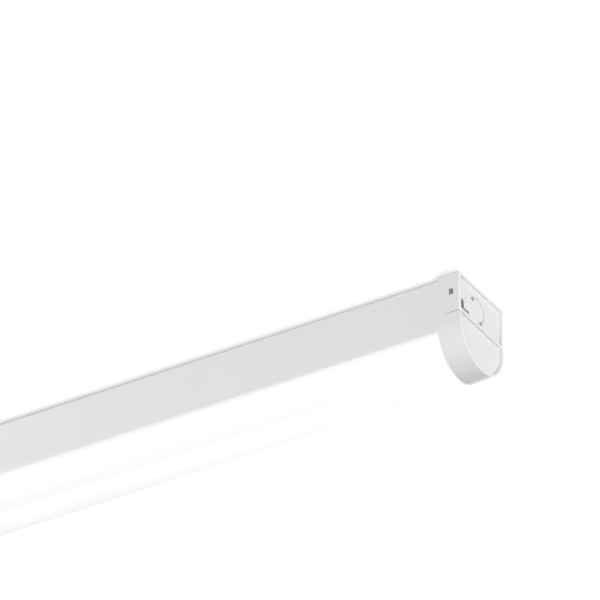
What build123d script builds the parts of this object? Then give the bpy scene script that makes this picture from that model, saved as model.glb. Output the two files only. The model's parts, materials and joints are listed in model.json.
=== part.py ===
from build123d import *
import os
from math import radians, sqrt, tan

# Linear ceiling light: a folded steel spine fixed to the ceiling, a gear tray that slides into it,
# an opal half-round diffuser clipped under it, and a moulded cap latched on each end.
# X runs along the light, Z is up, and the ceiling is the plane Z = 0. All sizes are millimetres.

# Overall
fixture_length = 600.0  # over the drum faces of the two end caps

# Spine
spine_width = 60.0
spine_height = 45.8
spine_sheet = 0.8
spine_bend = 2.0  # outside radius of its folds
spine_lip = 6.0  # width of the turned-in lower lips

# Holes in the spine's back
fixing_spacing = 400.0
fixing_hole_d = 5.2
pad_top_d = 14.0
pad_base_d = 18.0
box_hole_spacing = 50.8
box_hole_d = 4.5
entry_hole_d = 20.0

# Diffuser
diffuser_step = 0.5  # the caps' drums stand proud of it by this much
diffuser_wall = 1.5
diffuser_seat_gap = 0.3  # between its shelves and the spine's lips
diffuser_end_gap = 0.4  # to the drum's rim at each end
clip_wall = 1.2
clip_side_gap = 0.5
clip_hook = 1.0
clip_height = 2.6

# End cap
cap_length = 19.5
cap_fit = 0.3  # between the cap and what it slides over
cap_side_wall = 2.2
cap_lip_wall = 1.2  # over the spine's back
cap_face_wall = 2.0
cap_face_recess = 2.0  # the faces lie this far inside the cap's rim
cap_rim_width = 2.4
cap_end_gap = 0.4
cap_edge_radius = 1.3
cap_long_edge_radius = 0.8
drum_centre_rise = 7.1  # centre of the drum's round above the spine's lower edge
drum_wall = 1.6
ledge_rise = 6.0  # lower edge of the box part above the drum's centre
drum_proud = 0.5
drum_inset = 0.7  # the drum draws in by this much at its outer face
drum_taper_length = 15.3
drum_corner_radius = 0.6
drum_edge_radius = 0.5
drum_overlap = 3.0  # how far the drum reaches up behind the box part's lower edge
drum_rim_width = 1.9
ledge_bow = 0.5
ledge_drop = 0.3
ledge_radius = 0.3
spigot_wall = 1.5
spigot_depth = 7.0
spigot_height = 11.0
spigot_top_drop = 22.0
ring_wall = 1.5
ring_depth = 6.0  # how far the ring enters the diffuser
ring_root = 4.0  # length of the collar that joins the ring to the drum
ring_top_drop = 11.8  # from the drum's centre to the ring's ends

# Latch windows and springs
window_from_face = 7.35
window_drop = 15.8
window_length = 3.8
window_height = 5.5
latch_sheet = 0.4
latch_length = 30.0
latch_play = 0.5
latch_catch_gap = 0.9  # between the latch and the side of the window that it holds
latch_tip_depth = 1.1  # the latch tip stays this far inside the cap's side
latch_bend = 0.5

# Knock-out moulded into the cap's upper face, measured from its middle and from the ceiling
knockout_offset = -2.8
knockout_drop = 18.9
knockout_d = 20.0
knockout_start_deg = -47.0
knockout_sweep_deg = 167.0
knockout_groove = 0.7
knockout_groove_depth = 1.0
pinhole_width = 3.0
pinhole_sweep_deg = 23.0
lobe_offset = -14.4
lobe_drop = 18.0
lobe_d = 12.2
lobe_start_deg = 90.0
lobe_sweep_deg = 90.0
lobe_groove = 0.5
lobe_groove_depth = 0.3
pry_slot_start = -26.5
pry_slot_end = -15.0
pry_slot_width = 3.8
pry_slot_top_drop = 20.1
pry_slot_drop = 28.9
pry_slot_height = 2.4

# Gear tray
tray_sheet = 0.8
tray_bend = 1.6
tray_height = 9.4  # from the spine's lips to the tray's upper face
tray_end_gap = 8.0

# Lamp boards
board_end_gap = 5.3  # from the tray's end to the board's
board_width = 20.0
board_thickness = 1.6
board_gap = 6.0
led_count = 24
led_length = 2.8
led_width = 3.5
led_height = 0.7
led_taper_deg = 12.0
rivet_count = 3
rivet_edge = 17.0
rivet_offset = -7.0
rivet_d = 3.0
rivet_play = 0.15
rivet_head_d = 6.0
rivet_head_height = 1.2
rivet_tip_d = 4.2
rivet_tip_height = 2.4
rivet_tip_taper_deg = 28.0
rivet_tip_play = 0.9

# Lamp connectors and wires
connector_length = 7.0
connector_width = 6.5
connector_height = 4.0
connector_inset = 0.6  # from the board's edge
connector_led_gap = 0.65  # between the feed connector and the lamp packages
connector_pitch = 4.0
connector_hole_depth = 4.0
link_connector_edge = 2.5
feed_connector_edge = 15.0  # from the +X board's outer end to the feed connector's middle
led_wire_d = 1.6
wire_play = 0.3

# Driver
driver_length = 160.0
driver_width = 30.0
driver_height = 21.0
driver_bush_gap = 2.5  # from its ear to the tray bush
driver_sheet = 0.6
driver_bend = 1.2
driver_base_height = 12.0
driver_cover_fit = 0.1
driver_cover_lift = 2.0
driver_ear = 9.0
driver_ear_edge = 3.5  # from a screw's middle to the ear's side
screw_board_gap = 0.75  # between a screw's tip and the lamp board
driver_screw_d = 3.5
driver_screw_head_d = 6.6
driver_screw_head_height = 2.4
driver_screw_tip = 2.0
screw_play = 0.2
screw_slot_width = 1.0
screw_slot_depth = 1.0
driver_standoff_d = 4.0
driver_standoff_height = 2.5
driver_standoff_inset = 24.0
driver_board_play = 1.4  # between its board and its walls
driver_terminal_length = 12.0
driver_terminal_width = 24.0
driver_terminal_height = 13.0
driver_terminal_hole_rise = 5.0
driver_terminal_pitch = 8.0

# Mains terminal
terminal_driver_gap = 26.0  # room for the wires to the driver
terminal_length = 20.0
terminal_width = 34.0
terminal_height = 16.0
terminal_edge_radius = 1.0
terminal_pitch = 10.0
terminal_hole_drop = 9.0
terminal_hole_d = 3.2
terminal_hole_depth = 7.0
terminal_funnel_d = 4.6
terminal_funnel_depth = 1.0
terminal_post_d = 4.0
terminal_post_edge = 4.0
terminal_barb = 0.5
terminal_barb_height = 1.0
post_play = 0.2
contact_thickness = 0.8
contact_width = 4.0
contact_play = 0.1
button_length = 5.0
button_width = 4.4
button_height = 5.5
button_stand = 1.2
button_travel = 1.0
button_play = 0.3
button_slot_width = 1.0
button_slot_depth = 0.6

# Earth point
stud_reach = 34.0  # from the mains terminal to the stud
stud_wall_gap = 11.5  # from the stud to the spine's side
stud_d = 4.0
stud_length = 9.0
stud_weld_d = 5.0
stud_weld_height = 0.6
washer_d = 9.0
washer_thickness = 0.8
tag_d = 8.4
tag_thickness = 0.8
tag_barrel_d = 4.0
tag_reach = 9.0
tag_barrel_length = 5.0
nut_across_flats = 7.0
nut_height = 3.2
thread_play = 0.15

# Wires
mains_wire_d = 2.2
wire_grip = 5.0  # length of wire held in a terminal
wire_lead = 10.0  # straight length out of a terminal
wire_arc_share = 0.45  # share of the shorter run that a bend takes up

# Bushes
bush_hole_d = 11.0
bush_bore_d = 8.0
bush_flange_d = 13.0
bush_flange = 1.0
bush_board_gap = 1.0  # between the tray bush and the lamp board
grommet_bore_d = 10.0
grommet_flange_d = 25.0
grommet_lower_flange = 2.0
grommet_upper_flange = 1.2

# Places worked out from the sizes
spine_half = spine_width / 2
spine_inner_half = spine_half - spine_sheet
ceiling_gap = cap_lip_wall + cap_fit
back_z = -ceiling_gap
back_under_z = back_z - spine_sheet
lip_under_z = back_z - spine_height
lip_top_z = lip_under_z + spine_sheet
drum_face_x = fixture_length / 2
cap_face_x = drum_face_x - drum_proud
cap_rim_x = cap_face_x - cap_length
cap_floor_x = cap_face_x - cap_face_recess
cap_inner_x = cap_floor_x - cap_face_wall
spine_end_x = cap_inner_x - cap_end_gap
diffuser_end_x = cap_rim_x - diffuser_end_gap
tray_end_x = spine_end_x - tray_end_gap
cap_half = spine_half + cap_fit + cap_side_wall
cap_bore_half = spine_half + cap_fit
drum_centre_z = lip_under_z + drum_centre_rise
drum_bore = cap_half - drum_wall
diffuser_radius = cap_half - diffuser_step
ledge_z = drum_centre_z + ledge_rise
taper_x = cap_face_x - drum_taper_length
window_x = cap_face_x - window_from_face
tray_half = spine_half - spine_bend
tray_top_z = lip_top_z + tray_height
tray_under_z = tray_top_z - tray_sheet
board_under_z = tray_under_z - board_thickness
board_end_x = tray_end_x - board_end_gap
feed_x = board_end_x - feed_connector_edge
feed_y = led_width / 2 + connector_led_gap + connector_length
bush_y = board_width / 2 + bush_board_gap + bush_flange_d / 2
driver_end_x = feed_x - bush_flange_d / 2 - driver_bush_gap - driver_ear
driver_start = driver_end_x - driver_length
driver_screw_offset = board_width / 2 + screw_board_gap + driver_screw_d / 2
driver_ear_half = driver_screw_offset + driver_ear_edge
driver_board_width = driver_width - 2 * (driver_sheet + driver_board_play)
driver_board_under_z = tray_top_z + driver_sheet + driver_standoff_height
driver_board_top_z = driver_board_under_z + board_thickness
driver_hole_z = driver_board_top_z + driver_terminal_hole_rise
terminal_end_x = driver_start - terminal_driver_gap
terminal_start = terminal_end_x - terminal_length
terminal_under_z = back_under_z - terminal_height
terminal_hole_z = back_under_z - terminal_hole_drop
connector_hole_z = board_under_z - connector_height / 2
connector_y = board_width / 2 - connector_inset - connector_width / 2
stud_x = terminal_end_x + stud_reach
stud_y = spine_half - stud_wall_gap


def along_length(face, start, end):
    """Run a Y-Z section along X from start to end."""
    return Pos(start, 0, 0) * extrude(Plane.YZ * face, amount=end - start)


def turned(points):
    """Turn a section of radius and height points round Z."""
    return revolve(Plane.XZ * make_face(Polyline(*points, close=True)), axis=Axis.Z)


def bent_sheet(outline, bend, sheet):
    """Section of a folded sheet: its outside follows the outline, with the metal on the right."""
    outside = FilletPolyline(*outline, radius=bend)
    return make_face(outside.offset_2d(sheet, side=Side.RIGHT))


def hole_z(x, y, diameter, height):
    """Cutter for a vertical hole that passes the height z by a wide margin."""
    return Pos(x, y, height) * Cylinder(diameter / 2, ceiling_gap + spine_bend + spine_sheet)


def block(x_range, y_range, z_range):
    """Rectangular solid between three pairs of limits."""
    size = [high - low for low, high in (x_range, y_range, z_range)]
    middle = [(high + low) / 2 for low, high in (x_range, y_range, z_range)]
    return Pos(*middle) * Box(*size)


def group(solids):
    """Several separate solids as one node."""
    return Compound(children=list(solids))


def wire(points, diameter):
    """Round wire whose corners are arcs as large as the straight runs allow."""
    corners = [Vector(*point) for point in points]
    radii = []
    for before, corner, after in zip(corners, corners[1:], corners[2:]):
        half_turn = radians((corner - before).get_angle(after - corner) / 2)
        shorter = min((corner - before).length, (after - corner).length)
        radii.append(wire_arc_share * shorter / tan(half_turn))
    path = FilletPolyline(*corners, radius=radii)
    section = Plane(path @ 0, z_dir=path % 0) * Circle(diameter / 2)
    print("wire", "length", round(path.length, 1), "radii", [round(radius, 1) for radius in radii])
    return sweep(section, path=path)


def spine():
    """Folded channel with fixing pads, cable entry, outlet-box holes and latch holes."""
    inner_lip = spine_half - spine_lip
    outline = [
        (-inner_lip, lip_under_z),
        (-spine_half, lip_under_z),
        (-spine_half, back_z),
        (spine_half, back_z),
        (spine_half, lip_under_z),
        (inner_lip, lip_under_z),
    ]
    body = along_length(bent_sheet(outline, spine_bend, spine_sheet), -spine_end_x, spine_end_x)
    for x in (-fixing_spacing / 2, fixing_spacing / 2):
        body -= hole_z(x, 0, pad_base_d, back_z)
        body += Pos(x, 0, 0) * fixing_pad()
    for x in (-box_hole_spacing / 2, box_hole_spacing / 2):
        body -= hole_z(x, 0, box_hole_d, back_z)
    body -= hole_z(0, 0, entry_hole_d, back_z)
    for x, y in terminal_post_places():
        body -= hole_z(x, y, terminal_post_d + 2 * post_play, back_z)
    for side in (-1, 1):
        window = Box(window_length, spine_width + spine_bend, window_height)
        body -= Pos(side * window_x, 0, -window_drop) * window
    return body


def fixing_pad():
    """Round pad pressed up from the back to the ceiling plane, with a screw hole."""
    slant = spine_sheet / 2
    return turned(
        [
            (fixing_hole_d / 2, 0),
            (pad_top_d / 2, 0),
            (pad_base_d / 2, back_z),
            (pad_base_d / 2, back_under_z),
            (pad_base_d / 2 - slant, back_under_z),
            (pad_top_d / 2 - slant, -spine_sheet),
            (fixing_hole_d / 2, -spine_sheet),
        ]
    )


def diffuser():
    """Half-round cover with shelves under the spine's lips and legs that hook over them."""
    centre = drum_centre_z
    top = lip_under_z - diffuser_seat_gap
    shelf = top - diffuser_wall
    inner_radius = diffuser_radius - diffuser_wall
    edge = sqrt(diffuser_radius**2 - (top - centre) ** 2)
    inner_edge = sqrt(inner_radius**2 - (shelf - centre) ** 2)
    leg_outside = spine_half - spine_lip - clip_side_gap
    leg_inside = leg_outside - clip_wall
    hook_z = lip_top_z + diffuser_seat_gap
    hook_y = leg_outside + clip_side_gap + clip_hook

    def clip(side):
        """Shelf, leg and hook of one side, from the outer edge to the inner wall."""
        points = [
            (edge, top),
            (leg_outside, top),
            (leg_outside, hook_z),
            (hook_y, hook_z),
            (leg_outside, hook_z + clip_height),
            (leg_inside, hook_z + clip_height),
            (leg_inside, shelf),
            (inner_edge, shelf),
        ]
        return Polyline(*[(side * y, z) for y, z in points])

    outside = ThreePointArc((-edge, top), (0, centre - diffuser_radius), (edge, top))
    inside = ThreePointArc((-inner_edge, shelf), (0, centre - inner_radius), (inner_edge, shelf))
    section = make_face(Curve() + outside + clip(1) + inside + clip(-1))
    return along_length(section, -diffuser_end_x, diffuser_end_x)


def drum_section(half, top, corner):
    """Flat-topped half-round section of the cap's lower part."""
    left = (-half, drum_centre_z)
    right = (half, drum_centre_z)
    top_line = FilletPolyline(left, (-half, top), (half, top), right, radius=corner)
    under = ThreePointArc(right, (0, drum_centre_z - half), left)
    return make_face(Curve() + top_line + under)


def cap_box():
    """Upper part of the cap: a box whose lower side edges are a shallow bow over the drum."""
    ledge = ThreePointArc(
        (cap_face_x, ledge_z),
        (cap_face_x - drum_taper_length / 2, ledge_z + ledge_bow),
        (taper_x, ledge_z - ledge_drop),
    )
    rest = Polyline(
        (taper_x, ledge_z - ledge_drop),
        (cap_rim_x, ledge_z - ledge_drop),
        (cap_rim_x, 0),
        (cap_face_x, 0),
        (cap_face_x, ledge_z),
    )
    box = extrude(Plane.XZ * make_face(Curve() + ledge + rest), amount=cap_half, both=True)
    long_edges = box.edges().filter_by(Axis.X).group_by(Axis.Z)[-1]
    box = fillet(long_edges, cap_long_edge_radius)
    face_edges = box.faces().sort_by(Axis.X)[-1].edges().sort_by(Axis.Z)
    box = fillet(face_edges[1:], cap_edge_radius)
    return fillet(box.edges().filter_by(GeomType.CIRCLE).filter_by(lies_on_ledge), ledge_radius)


def lies_on_ledge(edge):
    """Whether an edge is one of the two bowed edges over the drum."""
    return edge.length > drum_taper_length / 2


def cap_drum():
    """Lower part of the cap: a half-round drum that draws in towards its proud outer rim."""
    top = ledge_z + drum_overlap
    straight = along_length(drum_section(cap_half, top, drum_corner_radius), cap_rim_x, taper_x)
    full = Plane.YZ * drum_section(cap_half, ledge_z, drum_corner_radius)
    drawn_in = Plane.YZ * drum_section(cap_half - drum_inset, ledge_z, drum_corner_radius)
    tapered = loft([Pos(taper_x, 0, 0) * full, Pos(drum_face_x, 0, 0) * drawn_in], ruled=True)
    tapered = fillet(tapered.faces().sort_by(Axis.X)[-1].edges(), drum_edge_radius)
    return straight + tapered


def face_recesses():
    """Cutter for the two recessed faces inside the rims of the box part and of the drum."""
    half = cap_half - cap_rim_width
    low = ledge_z + cap_rim_width
    upper = block((cap_floor_x, drum_face_x), (-half, half), (low, -cap_rim_width))
    lower = drum_section(cap_half - drum_inset - drum_rim_width, ledge_z, drum_corner_radius)
    return upper + along_length(lower, cap_floor_x, drum_face_x)


def cap_cavity():
    """Hollow that slides over the spine and carries on the diffuser's round."""
    depth = -cap_lip_wall - drum_centre_z
    section = Pos(0, drum_centre_z + depth / 2) * Rectangle(2 * cap_bore_half, depth)
    section += Pos(0, drum_centre_z) * Circle(drum_bore)
    return along_length(section, cap_rim_x - cap_length, cap_inner_x)


def cap_ribs():
    """Spigot ribs that enter the spine, and a ring that enters the diffuser."""
    spigot_y = spine_inner_half - cap_fit - spigot_wall
    z_range = (-spigot_top_drop - spigot_height, -spigot_top_drop)
    x_range = (cap_inner_x - spigot_depth, cap_inner_x + cap_face_wall / 2)
    ribs = block(x_range, (spigot_y, spigot_y + spigot_wall), z_range)
    ribs += block(x_range, (-spigot_y - spigot_wall, -spigot_y), z_range)
    ring_radius = diffuser_radius - diffuser_wall - cap_fit
    ribs += along_length(lower_ring(ring_radius), cap_rim_x - ring_depth, cap_rim_x + ring_root)
    return ribs + along_length(lower_ring(drum_bore + drum_wall / 2), cap_rim_x, cap_rim_x + ring_root)


def lower_ring(radius):
    """Section of the ring's lower part, from a radius in to the ring's inside."""
    inside = diffuser_radius - diffuser_wall - cap_fit - ring_wall
    keep = Pos(0, -cap_half - ring_top_drop) * Rectangle(4 * cap_half, 2 * cap_half)
    return Pos(0, drum_centre_z) * ((Circle(radius) - Circle(inside)) & keep)


def face_groove(line, width, depth):
    """Cutter for a groove along a line drawn on the cap's upper face."""
    return along_length(trace(line, line_width=width), cap_floor_x - depth, cap_face_x)


def knockout_grooves():
    """Thin scored outline of the cable knock-out, its side lobe and its L-shaped pry slot."""
    centre = (knockout_offset, -knockout_drop)
    radius = knockout_d / 2
    end_deg = knockout_start_deg + knockout_sweep_deg
    outline = CenterArc(centre, radius, knockout_start_deg, knockout_sweep_deg)
    cutter = face_groove(outline, knockout_groove, knockout_groove_depth)
    through = 2 * cap_face_wall
    for start in (knockout_start_deg - pinhole_sweep_deg, end_deg):
        cutter += face_groove(CenterArc(centre, radius, start, pinhole_sweep_deg), pinhole_width, through)
    lobe = CenterArc((lobe_offset, -lobe_drop), lobe_d / 2, lobe_start_deg, lobe_sweep_deg)
    cutter += face_groove(lobe, lobe_groove, lobe_groove_depth)
    slot_x = (cap_floor_x - through, cap_face_x)
    upright = (pry_slot_start, pry_slot_start + pry_slot_width)
    cutter += block(slot_x, upright, (-pry_slot_drop, -pry_slot_top_drop))
    foot_z = (-pry_slot_drop, pry_slot_height - pry_slot_drop)
    return cutter + block(slot_x, (pry_slot_start, pry_slot_end), foot_z)


def end_cap():
    """Moulded cap of the +X end, hollow towards the light, with a latch window in each side."""
    cap = cap_box() + cap_drum() - face_recesses() - cap_cavity() + cap_ribs()
    cap -= Pos(window_x, 0, -window_drop) * Box(window_length, 3 * cap_half, window_height)
    return cap - knockout_grooves()


def cap_latches():
    """Pair of spring leaves on the spine's inner walls, their tips in the windows of the +X cap."""
    tip_start = window_x - window_length / 2 + latch_catch_gap
    tip_end = window_x + window_length / 2 - latch_play
    tip_y = -(cap_half - latch_tip_depth)
    wall_y = -spine_inner_half
    outline = [
        (tip_end, wall_y),
        (tip_start + latch_bend, tip_y),
        (tip_start, tip_y + latch_bend),
        (tip_start, wall_y),
        (tip_start - latch_length, wall_y),
    ]
    leaf_line = Polyline(*outline)
    leaf = make_face(leaf_line.offset_2d(latch_sheet, side=Side.RIGHT))
    near = Pos(0, 0, -window_drop) * extrude(leaf, amount=window_height / 2 - latch_play, both=True)
    return group([near, mirror(near, about=Plane.XZ)])


def gear_tray():
    """Folded tray that stands on the spine's lips, with holes for rivets, screws and the wire bush."""
    outline = [
        (-tray_half, lip_top_z),
        (-tray_half, tray_top_z),
        (tray_half, tray_top_z),
        (tray_half, lip_top_z),
    ]
    tray = along_length(bent_sheet(outline, tray_bend, tray_sheet), -tray_end_x, tray_end_x)
    for x in rivet_places():
        tray -= hole_z(x, rivet_offset, rivet_d + 2 * rivet_play, tray_top_z)
    for x, y in driver_screw_places():
        tray -= hole_z(x, y, driver_screw_d + 2 * screw_play, tray_top_z)
    return tray - hole_z(feed_x, bush_y, bush_hole_d, tray_top_z)


def board_range(side):
    """X limits of the lamp board on one side of the middle."""
    return tuple(sorted((side * board_gap / 2, side * board_end_x)))


def rivet_places():
    """X of every board rivet."""
    places = []
    for side in (-1, 1):
        start, end = board_range(side)
        step = (end - start - 2 * rivet_edge) / (rivet_count - 1)
        places += [start + rivet_edge + step * index for index in range(rivet_count)]
    return places


def led_board(side):
    """Lamp board against the tray's underside, with its rivet holes."""
    half = board_width / 2
    board = block(board_range(side), (-half, half), (board_under_z, tray_under_z))
    for x in rivet_places():
        board -= hole_z(x, rivet_offset, rivet_d + 2 * rivet_play, board_under_z)
    return board


def led_packages(side):
    """Row of lamp packages under one board."""
    start, end = board_range(side)
    pitch = (end - start) / led_count
    package = extrude(Rectangle(led_length, led_width), amount=-led_height, taper=led_taper_deg)
    places = [start + pitch * (index + 0.5) for index in range(led_count)]
    return group([Pos(x, 0, board_under_z) * package for x in places])


def board_rivets():
    """Push rivets: head under the board, arrow tip over the tray."""
    shank = rivet_d / 2
    head_under = board_under_z - rivet_head_height
    rivet = turned(
        [
            (0, head_under),
            (shank, head_under),
            (rivet_head_d / 2, board_under_z),
            (shank, board_under_z),
            (shank, tray_top_z),
            (0, tray_top_z),
        ]
    )
    arrow = extrude(Rectangle(rivet_tip_d, rivet_d), amount=rivet_tip_height, taper=rivet_tip_taper_deg)
    rivet += Pos(0, 0, tray_top_z) * arrow
    return group([Pos(x, rivet_offset, 0) * rivet for x in rivet_places()])


def connector():
    """Two-way wire connector whose entries face -X, its front at X = 0 and its top on Z = 0."""
    half = connector_width / 2
    body = block((0, connector_length), (-half, half), (-connector_height, 0))
    body = chamfer(body.edges().filter_by(Axis.Y).group_by(Axis.Z)[0], connector_inset)
    hole = Rot(0, 90, 0) * Cylinder(led_wire_d / 2 + wire_play, 2 * connector_hole_depth)
    for side in (-1, 1):
        body -= Pos(0, side * connector_pitch / 2, -connector_height / 2) * hole
    return body


def link_connector_x():
    """X of the entry side of the link connector on the +X board."""
    return board_gap / 2 + link_connector_edge


def board_connectors():
    """Link connectors that face each other at the middle, and the feed connector near the +X end."""
    right = Pos(link_connector_x(), connector_y, board_under_z) * connector()
    left = Rot(0, 0, 180) * Pos(link_connector_x(), -connector_y, board_under_z) * connector()
    feed = Pos(feed_x, feed_y, board_under_z) * Rot(0, 0, -90) * connector()
    return group([right, left, feed])


def board_link_wires():
    """Straight wires between the two link connectors."""
    length = 2 * (link_connector_x() + connector_hole_depth - wire_play)
    wire_piece = Rot(0, 90, 0) * Cylinder(led_wire_d / 2, length)
    offsets = (-connector_pitch / 2, connector_pitch / 2)
    return group([Pos(0, connector_y + offset, connector_hole_z) * wire_piece for offset in offsets])


def driver_screw_places():
    """X and Y of the driver's two fixing screws, at opposite corners."""
    first = (driver_start - driver_ear / 2, -driver_screw_offset)
    return [first, (driver_end_x + driver_ear / 2, driver_screw_offset)]


def driver_base():
    """Folded base of the driver with an ear at each end and pegs under its board."""
    half = driver_width / 2
    low = tray_top_z
    high = low + driver_base_height
    outline = [(half, high), (half, low), (-half, low), (-half, high)]
    base = along_length(bent_sheet(outline, driver_bend, driver_sheet), driver_start, driver_end_x)
    for x_range in ((driver_start - driver_ear, driver_start), (driver_end_x, driver_end_x + driver_ear)):
        base += block(x_range, (-driver_ear_half, driver_ear_half), (low, low + driver_sheet))
    for x, y in driver_screw_places():
        base -= hole_z(x, y, driver_screw_d + 2 * screw_play, low)
    for x in rivet_places():
        base -= hole_z(x, rivet_offset, rivet_tip_d + 2 * rivet_tip_play, low)
    peg = Cylinder(driver_standoff_d / 2, driver_standoff_height)
    peg_y = driver_board_width / 2 - driver_standoff_d / 2
    peg_z = low + driver_sheet + driver_standoff_height / 2
    for x in (driver_start + driver_standoff_inset, driver_end_x - driver_standoff_inset):
        for y in (-peg_y, peg_y):
            base += Pos(x, y, peg_z) * peg
    return base


def driver_cover():
    """Folded cover over the driver's base."""
    half = driver_width / 2 + driver_cover_fit + driver_sheet
    low = tray_top_z + driver_cover_lift
    high = tray_top_z + driver_height
    outline = [(-half, low), (-half, high), (half, high), (half, low)]
    return along_length(bent_sheet(outline, driver_bend, driver_sheet), driver_start, driver_end_x)


def driver_board():
    """Circuit board of the driver on its pegs."""
    half = driver_board_width / 2
    return block((driver_start, driver_end_x), (-half, half), (driver_board_under_z, driver_board_top_z))


def driver_terminal(outer_x, inward):
    """Two-way terminal on the driver's board, its wire entries facing out of the driver."""
    half = driver_terminal_width / 2
    x_range = tuple(sorted((outer_x, outer_x + inward * driver_terminal_length)))
    body = block(x_range, (-half, half), (driver_board_top_z, driver_board_top_z + driver_terminal_height))
    top_edges = body.edges().filter_by(Axis.X).group_by(Axis.Z)[-1]
    body = chamfer(top_edges, driver_bend)
    hole = Rot(0, 90, 0) * Cylinder(mains_wire_d / 2 + wire_play, 2 * (wire_grip + wire_play))
    for side in (-1, 1):
        body -= Pos(outer_x, side * driver_terminal_pitch / 2, driver_hole_z) * hole
    return body


def driver_screws():
    """Slotted pan-head screws through the driver's ears into the tray."""
    shank = driver_screw_d / 2
    head = driver_screw_head_d / 2
    seat = tray_top_z + driver_sheet
    top = seat + driver_screw_head_height
    tip = tray_under_z - driver_screw_tip
    screw = turned(
        [
            (0, tip),
            (shank, tip),
            (shank, seat),
            (head, seat),
            (head, top - shank / 2),
            (head - shank / 2, top),
            (0, top),
        ]
    )
    screw -= Pos(0, 0, top) * Box(2 * driver_screw_head_d, screw_slot_width, 2 * screw_slot_depth)
    return group([Pos(x, y, 0) * screw for x, y in driver_screw_places()])


def terminal_post_places():
    """X and Y of the snap posts that hold the mains terminal in the spine's back."""
    x = terminal_start + terminal_length / 2
    y = terminal_width / 2 - terminal_post_edge
    return [(x, -y), (x, y)]


def terminal_poles():
    """Y of the mains terminal's poles: live, neutral and earth."""
    return {"live": -terminal_pitch, "neutral": 0.0, "earth": terminal_pitch}


def terminal_wire_entry():
    """Cutter for one wire entry: a hole with a funnel, its mouth at X = 0 and the hole towards -X."""
    hole = terminal_hole_d / 2
    funnel = terminal_funnel_d / 2
    profile = [
        (0, terminal_funnel_depth),
        (2 * funnel - hole, terminal_funnel_depth),
        (hole, -terminal_funnel_depth),
        (hole, -terminal_hole_depth),
        (0, -terminal_hole_depth),
    ]
    return Rot(0, 90, 0) * turned(profile)


def contact_range():
    """X limits of the bars inside the mains terminal."""
    middle = terminal_start + terminal_length / 2
    half = terminal_length / 2 - terminal_hole_depth / 2
    return (middle - half, middle + half)


def contact_top_z():
    """Height of the bars' upper face, at the top of the wire entries."""
    return terminal_hole_z + terminal_hole_d / 2 + contact_thickness


def button_box(play, rise):
    """Limits of a release button at Y = 0, grown by play at its sides and by rise at its inner end."""
    middle = terminal_start + terminal_length / 2
    half_x = button_length / 2 + play
    half_y = button_width / 2 + play
    low = terminal_under_z - button_stand
    return block((middle - half_x, middle + half_x), (-half_y, half_y), (low, low + button_height + rise))


def terminal_block():
    """Mains terminal moulding: wire entries on two sides, button wells below, snap posts above."""
    half = terminal_width / 2
    body = block((terminal_start, terminal_end_x), (-half, half), (terminal_under_z, back_under_z))
    body = fillet(body.edges().filter_by(Axis.Z), terminal_edge_radius)
    bar_start, bar_end = contact_range()
    bar_half = contact_width / 2 + contact_play
    bar_z = (terminal_hole_z, contact_top_z())
    for y in terminal_poles().values():
        body -= Pos(terminal_end_x, y, terminal_hole_z) * terminal_wire_entry()
        body -= Pos(terminal_start, y, terminal_hole_z) * Rot(0, 0, 180) * terminal_wire_entry()
        slot_x = (bar_start - contact_play, bar_end + contact_play)
        body -= Pos(0, y, 0) * block(slot_x, (-bar_half, bar_half), bar_z)
        body -= Pos(0, y, 0) * button_box(button_play, button_travel + button_play)
    post = terminal_post_d / 2
    barb = turned(
        [
            (0, back_under_z),
            (post, back_under_z),
            (post, back_z),
            (post + terminal_barb, back_z),
            (post, back_z + terminal_barb_height),
            (0, back_z + terminal_barb_height),
        ]
    )
    for x, y in terminal_post_places():
        body += Pos(x, y, 0) * barb
    return body


def terminal_contacts():
    """Brass bars that join the two wire entries of each pole."""
    top = contact_top_z()
    half = contact_width / 2
    bar = block(contact_range(), (-half, half), (top - contact_thickness, top))
    return group([Pos(0, y, 0) * bar for y in terminal_poles().values()])


def release_button(y):
    """Release button of one pole, with a slot for a screwdriver tip."""
    button = button_box(0, 0)
    slot = Box(2 * button_length, button_slot_width, 2 * button_slot_depth)
    middle = terminal_start + terminal_length / 2
    return Pos(0, y, 0) * (button - Pos(middle, 0, terminal_under_z - button_stand) * slot)


def earth_stud():
    """Weld stud under the spine's back."""
    weld = stud_weld_d / 2
    shank = stud_d / 2
    tip = back_under_z - stud_length
    profile = [
        (0, back_under_z),
        (weld, back_under_z),
        (shank, back_under_z - stud_weld_height),
        (shank, tip + shank / 2),
        (shank / 2, tip),
        (0, tip),
    ]
    return Pos(stud_x, stud_y, 0) * turned(profile)


def earth_ring(diameter, thickness, top):
    """Flat ring round the earth stud."""
    bore = stud_d / 2 + thread_play
    ring = Cylinder(diameter / 2, thickness) - Cylinder(bore, thickness)
    return Pos(stud_x, stud_y, top - thickness / 2) * ring


def earth_washer():
    """Washer between the spine's back and the tag, bored to clear the weld."""
    top = back_under_z
    washer = earth_ring(washer_d, washer_thickness, top)
    weld = Cylinder(stud_weld_d / 2 + thread_play, washer_thickness)
    return washer - Pos(stud_x, stud_y, top - washer_thickness / 2) * weld


def tag_top_z():
    """Height of the earth tag's upper face, under the washer."""
    return back_under_z - washer_thickness


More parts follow.
